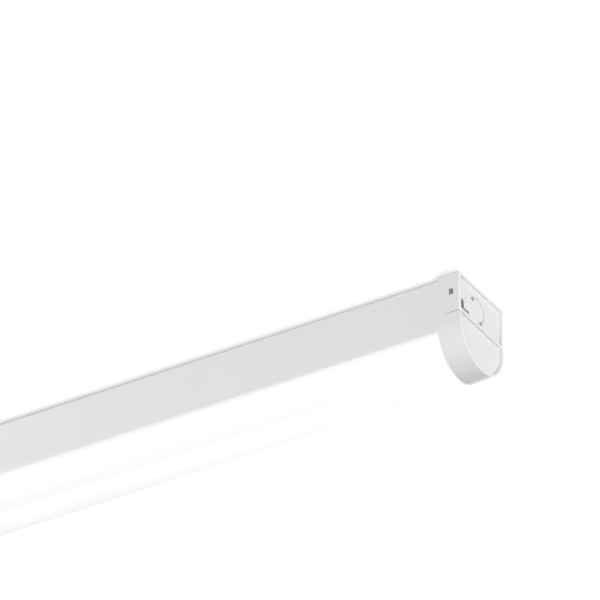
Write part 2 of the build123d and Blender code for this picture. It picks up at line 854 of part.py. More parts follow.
def earth_tag():
    """Ring tag with a crimp barrel towards the mains terminal."""
    top = tag_top_z()
    low = top - tag_thickness
    neck_half = tag_barrel_d / 2 - tag_thickness / 2
    barrel_end = stud_x - tag_reach
    tag = earth_ring(tag_d, tag_thickness, top)
    neck_x = (barrel_end - tag_thickness, stud_x - stud_d / 2 - thread_play - tag_thickness)
    tag += Pos(0, stud_y, 0) * block(neck_x, (-neck_half, neck_half), (low, top))
    barrel_axis = top - tag_barrel_d / 2
    barrel = Rot(0, 90, 0) * Cylinder(tag_barrel_d / 2, tag_barrel_length)
    tag += Pos(barrel_end - tag_barrel_length / 2, stud_y, barrel_axis) * barrel
    bore = Rot(0, 90, 0) * Cylinder(mains_wire_d / 2 + thread_play, 2 * tag_barrel_length)
    return tag - Pos(barrel_end - tag_barrel_length, stud_y, barrel_axis) * bore


def earth_nut():
    """Hexagon nut that clamps the tag."""
    top = tag_top_z() - tag_thickness
    nut = extrude(RegularPolygon(nut_across_flats / 2, 6, major_radius=False), amount=nut_height)
    nut -= Cylinder(stud_d / 2 + thread_play, 3 * nut_height)
    return Pos(stud_x, stud_y, top - nut_height) * nut


def mains_wire(pole, driver_side):
    """Wire from one pole of the mains terminal to the driver's input."""
    y = terminal_poles()[pole]
    driver_y = driver_side * driver_terminal_pitch / 2
    points = [
        (terminal_end_x - wire_grip, y, terminal_hole_z),
        (terminal_end_x + wire_lead / 2, y, terminal_hole_z),
        (driver_start - wire_lead / 2, driver_y, driver_hole_z),
        (driver_start + wire_grip, driver_y, driver_hole_z),
    ]
    return wire(points, mains_wire_d)


def earth_wire():
    """Wire from the earth pole to the tag on the stud."""
    y = terminal_poles()["earth"]
    tag_z = tag_top_z() - tag_barrel_d / 2
    barrel_mouth = stud_x - tag_reach - tag_barrel_length
    points = [
        (terminal_end_x - wire_grip, y, terminal_hole_z),
        (terminal_end_x + wire_lead / 2, y, terminal_hole_z),
        (barrel_mouth - wire_lead / 2, stud_y, tag_z),
        (barrel_mouth + tag_barrel_length - thread_play, stud_y, tag_z),
    ]
    return wire(points, mains_wire_d)


def led_wire(side):
    """Wire from the driver's output, down through the bush, to the feed connector."""
    start_y = side * driver_terminal_pitch / 2
    x = feed_x - side * connector_pitch / 2
    points = [
        (driver_end_x - wire_grip, start_y, driver_hole_z),
        (driver_end_x + wire_lead / 2, start_y, driver_hole_z),
        (x, bush_y, driver_hole_z),
        (x, bush_y, connector_hole_z),
        (x, feed_y - connector_hole_depth + wire_play, connector_hole_z),
    ]
    return wire(points, led_wire_d)


def bush(bore_d, hole_d, flange_d, sheet, upper, lower):
    """Soft ring in a sheet's hole, with a flange on each side; the sheet's top is Z = 0."""
    bore = bore_d / 2
    neck = hole_d / 2
    flange = flange_d / 2
    return turned(
        [
            (bore, upper),
            (flange - upper / 2, upper),
            (flange, upper / 2),
            (flange, 0),
            (neck, 0),
            (neck, -sheet),
            (flange, -sheet),
            (flange, -sheet - lower / 2),
            (flange - lower / 2, -sheet - lower),
            (bore, -sheet - lower),
        ]
    )


def cable_grommet():
    """Grommet in the rear cable entry."""
    flanges = (grommet_upper_flange, grommet_lower_flange)
    ring = bush(grommet_bore_d, entry_hole_d, grommet_flange_d, spine_sheet, *flanges)
    return Pos(0, 0, back_z) * ring


def tray_bush():
    """Bush round the lamp wires where they pass the tray."""
    ring = bush(bush_bore_d, bush_hole_d, bush_flange_d, tray_sheet, bush_flange, bush_flange)
    return Pos(feed_x, bush_y, tray_top_z) * ring


def all_pieces():
    """Every piece of the light by name."""
    cap = end_cap()
    latches = cap_latches()
    other_end = Rot(0, 0, 180)
    poles = terminal_poles()
    return {
        "spine": spine(),
        "diffuser": diffuser(),
        "end_cap_right": cap,
        "end_cap_left": other_end * cap,
        "cap_latches_right": latches,
        "cap_latches_left": other_end * latches,
        "gear_tray": gear_tray(),
        "led_board_right": led_board(1),
        "led_board_left": led_board(-1),
        "led_packages_right": led_packages(1),
        "led_packages_left": led_packages(-1),
        "board_rivets": board_rivets(),
        "board_connectors": board_connectors(),
        "board_link_wires": board_link_wires(),
        "driver_base": driver_base(),
        "driver_cover": driver_cover(),
        "driver_board": driver_board(),
        "driver_input_terminal": driver_terminal(driver_start, 1),
        "driver_output_terminal": driver_terminal(driver_end_x, -1),
        "driver_screws": driver_screws(),
        "terminal_block": terminal_block(),
        "terminal_contacts": terminal_contacts(),
        "live_button": release_button(poles["live"]),
        "neutral_button": release_button(poles["neutral"]),
        "earth_button": release_button(poles["earth"]),
        "earth_stud": earth_stud(),
        "earth_washer": earth_washer(),
        "earth_tag": earth_tag(),
        "earth_nut": earth_nut(),
        "live_wire": mains_wire("live", -1),
        "neutral_wire": mains_wire("neutral", 1),
        "earth_wire": earth_wire(),
        "led_positive_wire": led_wire(1),
        "led_negative_wire": led_wire(-1),
        "cable_grommet": cable_grommet(),
        "tray_bush": tray_bush(),
    }


os.makedirs("parts", exist_ok=True)
for name, piece in all_pieces().items():
    export_step(piece, f"parts/{name}.step")
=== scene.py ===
"""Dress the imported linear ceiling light: finishes, fine pieces, stage, lamps and camera."""

import json
import logging
import math
from dataclasses import dataclass, field
from enum import Enum
from functools import cached_property
from typing import Any, Iterable, Sequence

import bmesh
import bpy
from mathutils import Matrix, Vector


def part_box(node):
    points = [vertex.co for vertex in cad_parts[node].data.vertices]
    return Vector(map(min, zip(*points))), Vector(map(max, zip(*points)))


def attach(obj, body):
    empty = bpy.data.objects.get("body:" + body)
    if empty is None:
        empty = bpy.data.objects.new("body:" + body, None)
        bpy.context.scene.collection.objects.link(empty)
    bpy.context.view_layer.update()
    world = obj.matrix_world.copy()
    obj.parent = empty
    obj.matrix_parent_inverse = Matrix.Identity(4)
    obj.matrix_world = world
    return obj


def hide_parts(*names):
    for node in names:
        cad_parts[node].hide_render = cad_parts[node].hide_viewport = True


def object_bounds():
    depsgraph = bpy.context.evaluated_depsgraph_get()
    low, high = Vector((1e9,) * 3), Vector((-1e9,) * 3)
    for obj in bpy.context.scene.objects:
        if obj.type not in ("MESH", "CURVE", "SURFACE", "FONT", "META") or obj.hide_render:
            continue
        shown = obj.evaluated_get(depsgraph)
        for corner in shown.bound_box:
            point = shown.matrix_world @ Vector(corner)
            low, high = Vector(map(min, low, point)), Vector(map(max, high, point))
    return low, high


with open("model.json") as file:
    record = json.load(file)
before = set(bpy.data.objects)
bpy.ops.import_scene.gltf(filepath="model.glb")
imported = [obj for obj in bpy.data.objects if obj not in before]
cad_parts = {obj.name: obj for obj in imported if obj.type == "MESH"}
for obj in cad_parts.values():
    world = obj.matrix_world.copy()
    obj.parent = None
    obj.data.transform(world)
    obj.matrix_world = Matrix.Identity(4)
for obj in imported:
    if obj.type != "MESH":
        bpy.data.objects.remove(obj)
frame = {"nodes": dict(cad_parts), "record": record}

CAD_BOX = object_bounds()
SLOTS = {part["node"]: part["material_slot"] for part in frame["record"]["subparts"]}
LOG = logging.getLogger("linear_light")

Colour = tuple[float, float, float]
Point = tuple[float, float, float]
Span = tuple[float, float]
Shape = bmesh.types.BMesh
Socket = bpy.types.NodeSocket

MM = 0.001
MERGE_REACH = 0.001 * MM  # points of a finished piece nearer than this become one
JOIN_REACH = 0.01 * MM  # drawn ends, or heights, nearer than this are the same
CORNER_ANGLE = math.radians(30.0)  # edges that turn further are corners to round
CREASE_ANGLE = math.radians(35.0)  # edges that turn further are shaded sharp
ROUND_STEPS = 3
UPRIGHT: Point = (0.0, 0.0, 1.0)

BLACK: Colour = (0.0, 0.0, 0.0)
WHITE: Colour = (1.0, 1.0, 1.0)
DUST_COLOUR: Colour = (0.52, 0.50, 0.47)

# Places of a mix node's colour sockets, whose names aren't unique
MIX_SHARE, MIX_FIRST, MIX_SECOND, MIX_RESULT = 0, 6, 7, 2


def grey(level: float) -> Colour:
    """Return the grey of a level."""
    return (level, level, level)


def scaled(colour: Colour, factor: float) -> Colour:
    """Return a colour times a factor, white at most."""
    return tuple(min(1.0, factor * channel) for channel in colour)


def lifted(colour: Colour, step: float) -> Colour:
    """Return a colour raised by a step, white at most."""
    return tuple(min(1.0, channel + step) for channel in colour)


class Effect(Enum):
    """Surface effects that several finishes share, each one a node group."""

    GRAIN = "fine_grain"
    HANDLING = "handling_marks"
    EDGE = "edge_mask"
    DUST = "settled_dust"
    STREAKS = "rolled_streaks"


@dataclass
class Sheet:
    """Node tree that is being filled, with short calls for the nodes the finishes use."""

    tree: bpy.types.NodeTree

    @classmethod
    def on(cls, owner: bpy.types.Material | bpy.types.World) -> "Sheet":
        """Start on the emptied tree of a material or a world.

        Args:
            owner: The material or world.

        Returns:
            The sheet of its tree.
        """
        owner.use_nodes = True
        owner.node_tree.nodes.clear()
        return cls(owner.node_tree)

    @cached_property
    def place(self) -> Socket:
        """Return the object coordinates, from a node that is added on first use."""
        return self.add("ShaderNodeTexCoord").outputs["Object"]

    def add(self, kind: str, **settings: Any) -> bpy.types.Node:
        """Add one node.

        Args:
            kind: Blender's name of the node type.
            **settings: Properties to set on the node.

        Returns:
            The new node.
        """
        node = self.tree.nodes.new(kind)
        for key, value in settings.items():
            setattr(node, key, value)
        return node

    def feed(self, target: Socket, value: Any) -> None:
        """Link a socket to an input, or set the input's own value.

        Args:
            target: Input socket.
            value: Output socket, number, colour or vector.
        """
        if isinstance(value, Socket):
            self.tree.links.new(value, target)
        elif isinstance(value, tuple) and target.type == "RGBA":
            target.default_value = (*value, 1.0)
        else:
            target.default_value = value

    def fill(self, node: bpy.types.Node, values: dict[str, Any]) -> None:
        """Feed several inputs of a node.

        Args:
            node: The node.
            values: Values or sockets by input name.
        """
        for name, value in values.items():
            self.feed(node.inputs[name], value)

    def end(self, output: str, shader: bpy.types.Node) -> None:
        """Lead a shader to an output node of the given kind."""
        self.feed(self.add(output).inputs["Surface"], shader.outputs[0])

    def math(self, operation: str, first: Any, second: Any = 0.0) -> Socket:
        """Add a math node.

        Args:
            operation: Blender's name of the operation.
            first: First input, a socket or number.
            second: Second input, a socket or number.

        Returns:
            The result's socket.
        """
        node = self.add("ShaderNodeMath", operation=operation)
        self.feed(node.inputs[0], first)
        self.feed(node.inputs[1], second)
        return node.outputs[0]

    def plus(self, base: Any, mask: Socket, share: Any) -> Socket:
        """Return a value with a share of a mask added."""
        return self.math("ADD", base, self.math("MULTIPLY", mask, share))

    def lanes(self, value: Any, pitch: float) -> Socket:
        """Return a coordinate folded into lanes, from 0 to 1 and back."""
        return self.math("DIVIDE", self.math("PINGPONG", value, pitch), pitch)

    def span(self, value: Socket, given: Span, wanted: Span = (0.0, 1.0)) -> Socket:
        """Map a range of values smoothly to another.

        Args:
            value: Value to map.
            given: Start and end of the source range.
            wanted: Results at its start and end.

        Returns:
            The result's socket.
        """
        node = self.add("ShaderNodeMapRange", interpolation_type="SMOOTHSTEP")
        names = ("Value", "From Min", "From Max", "To Min", "To Max")
        self.fill(node, dict(zip(names, (value, *given, *wanted))))
        return node.outputs["Result"]

    def blend(self, share: Any, first: Any, second: Any) -> Socket:
        """Mix two colours.

        Args:
            share: Share of the second colour.
            first: First colour or socket.
            second: Second colour or socket.

        Returns:
            The mixed colour's socket.
        """
        node = self.add("ShaderNodeMix", data_type="RGBA")
        self.feed(node.inputs[MIX_SHARE], share)
        self.feed(node.inputs[MIX_FIRST], first)
        self.feed(node.inputs[MIX_SECOND], second)
        return node.outputs[MIX_RESULT]

    def tint(self, colour: Any, other: Any, mask: Socket, strength: float) -> Socket:
        """Return a colour mixed with another by a share of a mask."""
        return self.blend(self.math("MULTIPLY", mask, strength), colour, other)

    def noise(
        self, vector: Socket, scale: Any, detail: float = 2.0, roughness: float = 0.5
    ) -> Socket:
        """Add a noise texture.

        Args:
            vector: Coordinates.
            scale: Bumps per metre.
            detail: Number of finer layers.
            roughness: Strength of the finer layers.

        Returns:
            The noise value's socket.
        """
        node = self.add("ShaderNodeTexNoise")
        values = {"Vector": vector, "Scale": scale, "Detail": detail, "Roughness": roughness}
        self.fill(node, values)
        return node.outputs[0]

    def axes(self, vector: Socket) -> Sequence[Socket]:
        """Split coordinates into X, Y and Z.

        Args:
            vector: Coordinates.

        Returns:
            The three sockets.
        """
        node = self.add("ShaderNodeSeparateXYZ")
        self.feed(node.inputs[0], vector)
        return node.outputs

    def effect(self, effect: Effect, **values: Any) -> Socket:
        """Place a shared effect on the object coordinates.

        Args:
            effect: Which effect.
            **values: Its other inputs by name.

        Returns:
            The effect's one output.
        """
        node = self.add("ShaderNodeGroup", node_tree=EFFECTS.tree(effect))
        self.fill(node, {"Vector": self.place, **values})
        return node.outputs[0]

    def bump(self, height: Socket, strength: float, depth: float) -> Socket:
        """Turn a height into a normal.

        Args:
            height: Height value.
            strength: Share of the full bump.
            depth: Height of the bumps in metres.

        Returns:
            The normal's socket.
        """
        node = self.add("ShaderNodeBump")
        self.fill(node, {"Strength": strength, "Distance": depth, "Height": height})
        return node.outputs["Normal"]


@dataclass
class EffectLibrary:
    """Builds each shared effect once; a scale is a number of bumps per metre."""

    broad_share: float = 0.22  # scale of the broad grain in that of the fine one
    shade_range: Span = (0.42, 0.72)
    edge_range: Span = (0.99, 0.80)  # cosine between the face and its rounded normal
    break_scale: float = 240.0
    break_range: Span = (0.35, 0.65)
    break_mask: Span = (0.35, 1.0)
    up_range: Span = (0.55, 0.98)
    speck_scale: float = 900.0
    speck_range: Span = (0.40, 0.72)
    film_scale: float = 22.0
    film_range: Span = (0.30, 0.70)
    film_mask: Span = (0.25, 1.0)
    rolling: Point = (0.02, 1.0, 1.0)  # draws the streaks out along X
    built: dict[Effect, bpy.types.NodeTree] = field(default_factory=dict)

    def tree(self, effect: Effect) -> bpy.types.NodeTree:
        """Return the node group of an effect, building it on first use.

        Args:
            effect: Which effect.

        Returns:
            Its node group.
        """
        if effect not in self.built:
            makers = {
                Effect.GRAIN: self.grain,
                Effect.HANDLING: self.handling,
                Effect.EDGE: self.edge,
                Effect.DUST: self.dust,
                Effect.STREAKS: self.streaks,
            }
            self.built[effect] = makers[effect]()
        return self.built[effect]

    @staticmethod
    def start(effect: Effect, output: str, *numbers: str) -> tuple[Sheet, Any, Socket]:
        """Make an empty group that takes coordinates and numbers and gives one number.

        Args:
            effect: Effect that names the group.
            output: Name of the output.
            *numbers: Names of the number inputs.

        Returns:
            The sheet, the group's inputs and its output's socket.
        """
        tree = bpy.data.node_groups.new(effect.value, "ShaderNodeTree")
        sockets = [("Vector", "INPUT", "NodeSocketVector")]
        sockets += [(name, "INPUT", "NodeSocketFloat") for name in numbers]
        sockets += [(output, "OUTPUT", "NodeSocketFloat")]
        for name, way, kind in sockets:
            tree.interface.new_socket(name=name, in_out=way, socket_type=kind)
        sheet = Sheet(tree)
        given = sheet.add("NodeGroupInput").outputs
        return sheet, given, sheet.add("NodeGroupOutput").inputs[output]

    def grain(self) -> bpy.types.NodeTree:
        """Build the fine texture of a coat or a moulding: a fine and a coarser noise.

        Returns:
            The node group.
        """
        sheet, given, height = self.start(Effect.GRAIN, "Height", "Scale", "Coarse")
        fine = sheet.noise(given["Vector"], given["Scale"], detail=3.0)
        broad_scale = sheet.math("MULTIPLY", given["Scale"], self.broad_share)
        broad = sheet.noise(given["Vector"], broad_scale, detail=1.0)
        sheet.feed(height, sheet.plus(fine, broad, given["Coarse"]))
        return sheet.tree

    def handling(self) -> bpy.types.NodeTree:
        """Build the faint uneven shade that handling leaves.

        Returns:
            The node group.
        """
        sheet, given, shade = self.start(Effect.HANDLING, "Shade", "Scale")
        cloud = sheet.noise(given["Vector"], given["Scale"], detail=5.0, roughness=0.62)
        sheet.feed(shade, sheet.span(cloud, self.shade_range))
        return sheet.tree

    def edge(self) -> bpy.types.NodeTree:
        """Build a mask of sharp edges, broken up by noise.

        Returns:
            The node group.
        """
        sheet, given, mask = self.start(Effect.EDGE, "Mask", "Radius")
        soft = sheet.add("ShaderNodeBevel", samples=4)
        sheet.feed(soft.inputs["Radius"], given["Radius"])
        flat = sheet.add("ShaderNodeNewGeometry").outputs["True Normal"]
        dot = sheet.add("ShaderNodeVectorMath", operation="DOT_PRODUCT")
        sheet.feed(dot.inputs[0], soft.outputs[0])
        sheet.feed(dot.inputs[1], flat)
        edge = sheet.span(dot.outputs["Value"], self.edge_range)
        cloud = sheet.noise(given["Vector"], self.break_scale, detail=4.0)
        breaks = sheet.span(cloud, self.break_range, self.break_mask)
        sheet.feed(mask, sheet.math("MULTIPLY", edge, breaks))
        return sheet.tree

    def dust(self) -> bpy.types.NodeTree:
        """Build the thin dust that settles on faces that look up.

        Returns:
            The node group.
        """
        sheet, given, mask = self.start(Effect.DUST, "Mask", "Amount")
        normal = sheet.add("ShaderNodeNewGeometry").outputs["Normal"]
        up = sheet.span(sheet.axes(normal)[2], self.up_range)
        specks = sheet.noise(given["Vector"], self.speck_scale, detail=6.0, roughness=0.7)
        specks = sheet.span(specks, self.speck_range)
        cloud = sheet.noise(given["Vector"], self.film_scale, detail=3.0)
        film = sheet.math("MULTIPLY", specks, sheet.span(cloud, self.film_range, self.film_mask))
        settled = sheet.math("MULTIPLY", film, up)
        sheet.feed(mask, sheet.math("MULTIPLY", settled, given["Amount"]))
        return sheet.tree

    def streaks(self) -> bpy.types.NodeTree:
        """Build the drawn-out lines of rolled sheet.

        Returns:
            The node group.
        """
        sheet, given, height = self.start(Effect.STREAKS, "Height", "Scale")
        drawn = sheet.add("ShaderNodeMapping")
        sheet.fill(drawn, {"Vector": given["Vector"], "Scale": self.rolling})
        lines = sheet.noise(drawn.outputs["Vector"], given["Scale"], detail=4.0, roughness=0.6)
        sheet.feed(height, lines)
        return sheet.tree


EFFECTS = EffectLibrary()


@dataclass(frozen=True)
class Finish:
    """Base of the finishes: a named material with one shader."""

    name: str
    colour: Colour

    def build(self) -> bpy.types.Material:
        """Make the finish's material.

        Returns:
            The new material.
        """
        material = bpy.data.materials.new(self.name)
        sheet = Sheet.on(material)
        shader = sheet.add("ShaderNodeBsdfPrincipled")
        sheet.fill(shader, self.shade(sheet))
        sheet.end("ShaderNodeOutputMaterial", shader)
        return material

    def shade(self, sheet: Sheet) -> dict[str, Any]:
        """Make the finish's nodes.

        Args:
            sheet: Material's tree.

        Returns:
            Values or sockets for the shader, by input name.
        """
        raise NotImplementedError


@dataclass(frozen=True)
class CoatedSteel(Finish):
    """White powder coat on folded sheet steel."""

    roughness: float = 0.42
    sheen: float = 0.45
    peel_scale: float = 950.0
    peel_coarse: float = 1.6
    peel_strength: float = 0.35
    peel_depth: float = 0.00004
    marks_scale: float = 9.0
    marks_shade: float = 0.985
    marks_roughness: float = 0.05
    # The edge values paint a highlight: sharp edges are lightened toward a near-white colour
    edge_radius: float = 0.0006
    edge_light: float = 0.10
    edge_highlight_colour: Colour = (0.97, 0.97, 0.97)
    dust: float = 0.10
    dust_roughness: float = 0.35

    def shade(self, sheet: Sheet) -> dict[str, Any]:
        """Make the coat: orange peel, faint handling shade, a painted highlight that lightens the
        sharp edges, and dust above.

        Args:
            sheet: Material's tree.

        Returns:
            Values or sockets for the shader, by input name.
        """
        marks = sheet.effect(Effect.HANDLING, Scale=self.marks_scale)
        edges = sheet.effect(Effect.EDGE, Radius=self.edge_radius)
        dust = sheet.effect(Effect.DUST, Amount=self.dust)
        peel = sheet.effect(Effect.GRAIN, Scale=self.peel_scale, Coarse=self.peel_coarse)
        colour = sheet.blend(marks, self.colour, scaled(self.colour, self.marks_shade))
        # Painted highlight: the edge mask lightens the coat along sharp edges
        colour = sheet.tint(colour, self.edge_highlight_colour, edges, self.edge_light)
        rough = sheet.plus(self.roughness, marks, self.marks_roughness)
        return {
            "Base Color": sheet.blend(dust, colour, DUST_COLOUR),
            "Roughness": sheet.plus(rough, dust, self.dust_roughness),
            "Normal": sheet.bump(peel, self.peel_strength, self.peel_depth),
            "Specular IOR Level": self.sheen,
        }


@dataclass(frozen=True)
class MouldedPlastic(Finish):
    """Injection-moulded plastic with a fine spark-eroded texture."""

    roughness: float = 0.45
    sheen: float = 0.5
    texture_scale: float = 2600.0
    texture_coarse: float = 0.4
    texture_strength: float = 0.30
    texture_depth: float = 0.00003
    flow_scale: float = 26.0
    flow_shade: float = 0.985
    flow_roughness: float = 0.04
    # edge_light and the step paint a highlight that lightens sharp edges; edge_polish is real, a
    # lower roughness from handling
    edge_radius: float = 0.0005
    edge_light: float = 0.12
    edge_highlight_step: float = 0.06
    edge_polish: float = 0.10
    dust: float = 0.08

    def shade(self, sheet: Sheet) -> dict[str, Any]:
        """Make the moulding: fine texture, faint flow shade, edges polished by handling to a lower
        roughness, and a painted highlight that lightens them.

        Args:
            sheet: Material's tree.

        Returns:
            Values or sockets for the shader, by input name.
        """
        flow = sheet.effect(Effect.HANDLING, Scale=self.flow_scale)
        edges = sheet.effect(Effect.EDGE, Radius=self.edge_radius)
        dust = sheet.effect(Effect.DUST, Amount=self.dust)
        texture = sheet.effect(
            Effect.GRAIN, Scale=self.texture_scale, Coarse=self.texture_coarse
        )
        colour = sheet.blend(flow, self.colour, scaled(self.colour, self.flow_shade))
        # Painted highlight: the sharp edges are lifted to a lighter colour; the lower roughness
        # below is real polish
        colour = sheet.tint(colour, lifted(self.colour, self.edge_highlight_step), edges, self.edge_light)
        rough = sheet.plus(self.roughness, edges, -self.edge_polish)
        return {
            "Base Color": sheet.blend(dust, colour, DUST_COLOUR),
            "Roughness": sheet.plus(rough, flow, self.flow_roughness),
            "Normal": sheet.bump(texture, self.texture_strength, self.texture_depth),
            "Specular IOR Level": self.sheen,
        }


@dataclass(frozen=True)
class OpalPlastic(Finish):
    """Opal diffuser, lit from inside: brightest along its bottom, under the lamps, dim at its rims.

    The heights are in metres, in the light's own frame.
    """

    glow: float
    band_top: float
    band_height: float = 0.0047
    side_glow: float = 0.81
    rim_low: float = -0.0501
    rim_fade: float = 0.0002
    rim_glow: float = 0.68
    cloud_scale: float = 14.0
    cloud_shade: float = 0.985
    cloud_glow: Colour = (0.97, 0.975, 0.98)
    skin_scale: float = 1400.0
    skin_coarse: float = 0.8
    skin_strength: float = 0.12
    skin_depth: float = 0.00002
    drawn_scale: float = 420.0
    drawn_roughness: float = 0.06
    roughness: float = 0.45
    sheen: float = 0.03

    def shade(self, sheet: Sheet) -> dict[str, Any]:
        """Make the opal: a soft glow that is slightly uneven, under a satin skin.

        Args:
            sheet: Material's tree.

        Returns:
            Values or sockets for the shader, by input name.
        """
        cloud = sheet.effect(Effect.HANDLING, Scale=self.cloud_scale)
        skin = sheet.effect(Effect.GRAIN, Scale=self.skin_scale, Coarse=self.skin_coarse)
        drawn = sheet.effect(Effect.STREAKS, Scale=self.drawn_scale)
        height = sheet.axes(sheet.place)[2]
        band = sheet.span(height, (self.band_top, self.band_top - self.band_height))
        rim = (self.rim_low, self.rim_low + self.rim_fade)
        side = sheet.span(height, rim, (self.side_glow, self.rim_glow))
        side = sheet.blend(side, BLACK, WHITE)
        bottom = sheet.blend(cloud, WHITE, self.cloud_glow)
        return {
            "Base Color": sheet.blend(cloud, self.colour, scaled(self.colour, self.cloud_shade)),
            "Emission Color": sheet.blend(band, side, bottom),
            "Emission Strength": self.glow,
            "Roughness": sheet.plus(self.roughness, drawn, self.drawn_roughness),
            "Normal": sheet.bump(skin, self.skin_strength, self.skin_depth),
            "Specular IOR Level": self.sheen,
        }


@dataclass(frozen=True)
class BareMetal(Finish):
    """Plain or plated metal."""

    roughness: float = 0.30
    streak_scale: float = 1500.0
    streak_roughness: float = 0.18
    streak_strength: float = 0.15
    streak_depth: float = 0.00002
    tarnish: Colour = (0.42, 0.41, 0.40)
    tarnish_scale: float = 90.0
    tarnish_share: float = 0.22
    edge_radius: float = 0.0003
    edge_light: float = 0.4
    edge_shine: float = 1.15

    def shade(self, sheet: Sheet) -> dict[str, Any]:
        """Make the metal: rolled streaks, faint tarnish and bright edges.

        Args:
            sheet: Material's tree.

        Returns:
            Values or sockets for the shader, by input name.
        """
        streak = sheet.effect(Effect.STREAKS, Scale=self.streak_scale)
        cloud = sheet.effect(Effect.HANDLING, Scale=self.tarnish_scale)
        edges = sheet.effect(Effect.EDGE, Radius=self.edge_radius)
        colour = sheet.tint(self.colour, self.tarnish, cloud, self.tarnish_share)
        bright = scaled(self.colour, self.edge_shine)
        return {
            "Base Color": sheet.tint(colour, bright, edges, self.edge_light),
            "Metallic": 1.0,
            "Roughness": sheet.plus(self.roughness, streak, self.streak_roughness),
            "Normal": sheet.bump(streak, self.streak_strength, self.streak_depth),
        }


@dataclass(frozen=True)
class CircuitBoard(Finish):
    """Solder mask over copper tracks; lengths are in metres."""

    track: Colour
    track_pitch: float = 0.0035
    track_share: float = 0.72
    track_edge: float = 0.06
    bend_scale: float = 35.0
    bend_reach: float = 0.0012
    break_pitch: float = 0.0117
    break_edge: Span = (0.0012, 0.0015)
    weave_scale: float = 1900.0
    weave_coarse: float = 0.5
    weave_roughness: float = 0.12
    roughness: float = 0.30
    relief_strength: float = 0.2
    relief_depth: float = 0.00003

    def shade(self, sheet: Sheet) -> dict[str, Any]:
        """Make the board: tracks that show through the mask as broad bands along the board.

        Args:
            sheet: Material's tree.

        Returns:
            Values or sockets for the shader, by input name.
        """
        along, across, _ = sheet.axes(sheet.place)
        bend = sheet.noise(sheet.place, self.bend_scale, detail=0.0)
        lane = sheet.lanes(sheet.plus(across, bend, self.bend_reach), self.track_pitch)
        bands = sheet.span(lane, (self.track_share, self.track_share + self.track_edge))
        breaks = sheet.span(sheet.math("PINGPONG", along, self.break_pitch), self.break_edge)
        bands = sheet.math("MULTIPLY", bands, breaks)
        weave = sheet.effect(Effect.GRAIN, Scale=self.weave_scale, Coarse=self.weave_coarse)
        relief = sheet.math("ADD", bands, weave)
        return {
            "Base Color": sheet.blend(bands, self.colour, self.track),
            "Roughness": sheet.plus(self.roughness, weave, self.weave_roughness),
            "Normal": sheet.bump(relief, self.relief_strength, self.relief_depth),
        }


@dataclass(frozen=True)
class Insulation(Finish):
    """Extruded wire insulation, with a second colour in stripes where it has one."""

    stripe: Colour | None = None
    stripe_width: float = 0.0011
    stripe_edge: Span = (0.48, 0.56)
    cloud_scale: float = 120.0
    cloud_shade: float = 0.86
    drawn_scale: float = 2600.0
    drawn_roughness: float = 0.15
    drawn_strength: float = 0.1
    drawn_depth: float = 0.00002
    roughness: float = 0.38

    def shade(self, sheet: Sheet) -> dict[str, Any]:
        """Make the insulation: a satin skin with faint drawn lines.

        Args:
            sheet: Material's tree.

        Returns:
            Values or sockets for the shader, by input name.
        """
        drawn = sheet.effect(Effect.STREAKS, Scale=self.drawn_scale)
        cloud = sheet.effect(Effect.HANDLING, Scale=self.cloud_scale)
        colour = sheet.blend(cloud, self.colour, scaled(self.colour, self.cloud_shade))
        if self.stripe is not None:
            lane = sheet.lanes(sheet.axes(sheet.place)[1], self.stripe_width)
            colour = sheet.blend(sheet.span(lane, self.stripe_edge), colour, self.stripe)
        return {
            "Base Color": colour,
            "Roughness": sheet.plus(self.roughness, drawn, self.drawn_roughness),
            "Normal": sheet.bump(drawn, self.drawn_strength, self.drawn_depth),
        }


@dataclass(frozen=True)
class Rubber(Finish):
    """Soft black moulding with a bloom of dust."""

    roughness: float = 0.62
    bloom_scale: float = 160.0
    bloom_step: float = 0.035
    bloom_roughness: float = 0.14
    texture_scale: float = 3200.0
    texture_coarse: float = 0.6
    texture_strength: float = 0.25
    texture_depth: float = 0.00004
    dust: float = 0.35
    dust_colour: Colour = (0.33, 0.32, 0.30)

    def shade(self, sheet: Sheet) -> dict[str, Any]:
        """Make the rubber: dull skin, fine texture, pale bloom.

        Args:
            sheet: Material's tree.

        Returns:
            Values or sockets for the shader, by input name.
        """
        cloud = sheet.effect(Effect.HANDLING, Scale=self.bloom_scale)
        dust = sheet.effect(Effect.DUST, Amount=self.dust)
        texture = sheet.effect(
            Effect.GRAIN, Scale=self.texture_scale, Coarse=self.texture_coarse
        )
        colour = sheet.blend(cloud, self.colour, lifted(self.colour, self.bloom_step))
        return {
            "Base Color": sheet.blend(dust, colour, self.dust_colour),
            "Roughness": sheet.plus(self.roughness, cloud, self.bloom_roughness),
            "Normal": sheet.bump(texture, self.texture_strength, self.texture_depth),
        }


@dataclass(frozen=True)
class Phosphor(Finish):
    """Yellow phosphor of a lamp package, glowing."""

    glow: float
    pale: Colour = (0.98, 0.90, 0.62)
    warm_light: Colour = (1.0, 0.93, 0.78)
    pale_light: Colour = (1.0, 0.97, 0.90)
    gel_scale: float = 5200.0
    gel_coarse: float = 0.5
    gel_range: Span = (0.5, 1.0)
    gel_strength: float = 0.2
    gel_depth: float = 0.00003
    roughness: float = 0.22

    def shade(self, sheet: Sheet) -> dict[str, Any]:
        """Make the phosphor: grainy gel that glows.

        Args:
            sheet: Material's tree.

        Returns:
            Values or sockets for the shader, by input name.
        """
        gel = sheet.effect(Effect.GRAIN, Scale=self.gel_scale, Coarse=self.gel_coarse)
        shade = sheet.span(gel, self.gel_range)
        return {
            "Base Color": sheet.blend(shade, self.colour, self.pale),
            "Emission Color": sheet.blend(shade, self.warm_light, self.pale_light),
            "Emission Strength": self.glow,
            "Roughness": self.roughness,
            "Normal": sheet.bump(gel, self.gel_strength, self.gel_depth),
        }


